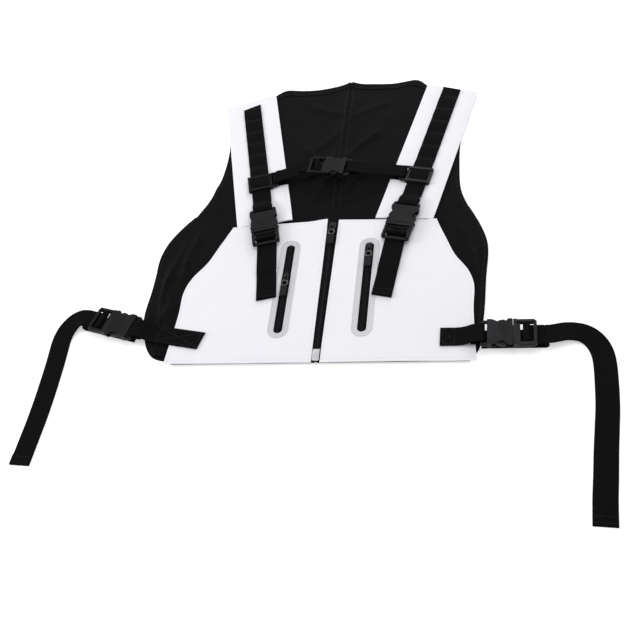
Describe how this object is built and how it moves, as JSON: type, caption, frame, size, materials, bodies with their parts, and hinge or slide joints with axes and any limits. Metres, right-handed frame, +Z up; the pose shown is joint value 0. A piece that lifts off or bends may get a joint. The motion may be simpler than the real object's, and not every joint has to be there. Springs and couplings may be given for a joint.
{
  "type": "safety harness vest",
  "caption": "Short zip-front vest laid open, with padded shoulder straps, webbing, side-release buckles, a chest strap and long waist tails.",
  "frame": {"origin": "centre of the back panel, halfway between hem and collar, on the face the vest lies on", "axes": "+Z up out of the back, +Y towards the collar, +X to the right as the front is looked at"},
  "size_m": [0.6708, 0.6877, 0.0225],
  "materials": {
    "white_fabric": "smooth matt weave",
    "black_fabric": "matt weave",
    "webbing": "ribbed webbing",
    "buckle_plastic": "satin moulded",
    "silver_film": "grey reflective film",
    "zip_metal": "bright zinc"
  },
  "bodies": {
    "vest": {"back_panel": "black_fabric", "front_lining_left": "black_fabric", "front_lining_right": "black_fabric", "front_panel_left": "white_fabric", "front_panel_right": "white_fabric", "pocket_border_left": "silver_film", "pocket_border_right": "silver_film", "pocket_zip_left": "webbing", "pocket_zip_right": "webbing", "shoulder_left_buckle_socket": "buckle_plastic", "shoulder_right_buckle_socket": "buckle_plastic", "shoulder_strap_left": "white_fabric", "shoulder_strap_right": "white_fabric", "shoulder_webbing_left": "webbing", "shoulder_webbing_right": "webbing", "side_panel_left": "black_fabric", "side_panel_right": "black_fabric", "strap_lining_left": "black_fabric", "strap_lining_right": "black_fabric", "waist_left_buckle_socket": "buckle_plastic", "waist_right_buckle_socket": "buckle_plastic", "waist_tab_left": "webbing", "waist_tab_right": "webbing", "zip_box": "zip_metal", "zip_tape_left": "webbing", "zip_tape_right": "webbing", "zip_teeth_left": "buckle_plastic", "zip_teeth_right": "buckle_plastic"},
    "zip_slider": {"zip_slider": "zip_metal"},
    "zip_puller": {"zip_puller": "zip_metal", "zip_pull_tab": "buckle_plastic"},
    "chest_strap": {"chest_buckle_socket": "buckle_plastic", "chest_webbing_right": "webbing", "chest_loop_left": "webbing"},
    "chest_plug": {"chest_buckle_plug": "buckle_plastic", "chest_webbing_left": "webbing"},
    "pocket_left_slider": {"pocket_left_slider": "zip_metal"},
    "pocket_left_puller": {"pocket_left_puller": "zip_metal", "pocket_left_pull_tab": "buckle_plastic"},
    "chest_slider_left": {"chest_slider_left": "buckle_plastic"},
    "shoulder_left_plug": {"shoulder_left_buckle_plug": "buckle_plastic", "shoulder_tail_left": "webbing"},
    "waist_left_plug": {"waist_left_buckle_plug": "buckle_plastic", "waist_webbing_left": "webbing", "waist_tail_left": "webbing"},
    "pocket_right_slider": {"pocket_right_slider": "zip_metal"},
    "pocket_right_puller": {"pocket_right_puller": "zip_metal", "pocket_right_pull_tab": "buckle_plastic"},
    "chest_slider_right": {"chest_slider_right": "buckle_plastic"},
    "shoulder_right_plug": {"shoulder_right_buckle_plug": "buckle_plastic", "shoulder_tail_right": "webbing"},
    "waist_right_plug": {"waist_right_buckle_plug": "buckle_plastic", "waist_webbing_right": "webbing", "waist_tail_right": "webbing"}
  },
  "joints": [
    {"name": "zip_run", "type": "slide", "parent": "vest", "child": "zip_slider", "axis": [0, -1, 0], "range_m": [0, 0.17]},
    {"name": "zip_pull", "type": "hinge", "parent": "zip_slider", "child": "zip_puller", "pos_m": [0, -0.038, 0.0089], "axis": [-1, 0, 0], "range_deg": [0, 150]},
    {"name": "chest_height", "type": "slide", "parent": "vest", "child": "chest_strap", "axis": [0, 1, 0], "range_m": [-0.006, 0.006]},
    {"name": "chest_release", "type": "slide", "parent": "chest_strap", "child": "chest_plug", "axis": [-0.9903, 0.1392, 0], "range_m": [0, 0.02]},
    {"name": "pocket_left_run", "type": "slide", "parent": "vest", "child": "pocket_left_slider", "axis": [0, 1, 0], "range_m": [-0.075, 0.042]},
    {"name": "pocket_left_pull", "type": "hinge", "parent": "pocket_left_slider", "child": "pocket_left_puller", "pos_m": [-0.05, -0.119, 0.0082], "axis": [-1, 0, 0], "range_deg": [0, 150]},
    {"name": "chest_slider_left_run", "type": "slide", "parent": "vest", "child": "chest_slider_left", "axis": [-0.2181, 0.9759, 0], "range_m": [-0.0062, 0.0062]},
    {"name": "shoulder_left_release", "type": "slide", "parent": "vest", "child": "shoulder_left_plug", "axis": [0.2181, -0.9759, 0], "range_m": [0, 0.024]},
    {"name": "waist_left_release", "type": "slide", "parent": "vest", "child": "waist_left_plug", "axis": [-0.9613, 0.2756, 0], "range_m": [0, 0.024]},
    {"name": "pocket_right_run", "type": "slide", "parent": "vest", "child": "pocket_right_slider", "axis": [0, 1, 0], "range_m": [-0.118, 0.002]},
    {"name": "pocket_right_pull", "type": "hinge", "parent": "pocket_right_slider", "child": "pocket_right_puller", "pos_m": [0.05, -0.076, 0.0082], "axis": [-1, 0, 0], "range_deg": [0, 150]},
    {"name": "chest_slider_right_run", "type": "slide", "parent": "vest", "child": "chest_slider_right", "axis": [0.2181, 0.9759, 0], "range_m": [-0.0062, 0.0062]},
    {"name": "shoulder_right_release", "type": "slide", "parent": "vest", "child": "shoulder_right_plug", "axis": [-0.2181, -0.9759, 0], "range_m": [0, 0.024]},
    {"name": "waist_right_release", "type": "slide", "parent": "vest", "child": "waist_right_plug", "axis": [1, 0, 0], "range_m": [0, 0.024]}
  ],
  "couplings": [
    {"joint": "chest_slider_left_run", "follows": "chest_height", "ratio": 1.0247},
    {"joint": "chest_slider_right_run", "follows": "chest_height", "ratio": 1.0247}
  ]
}
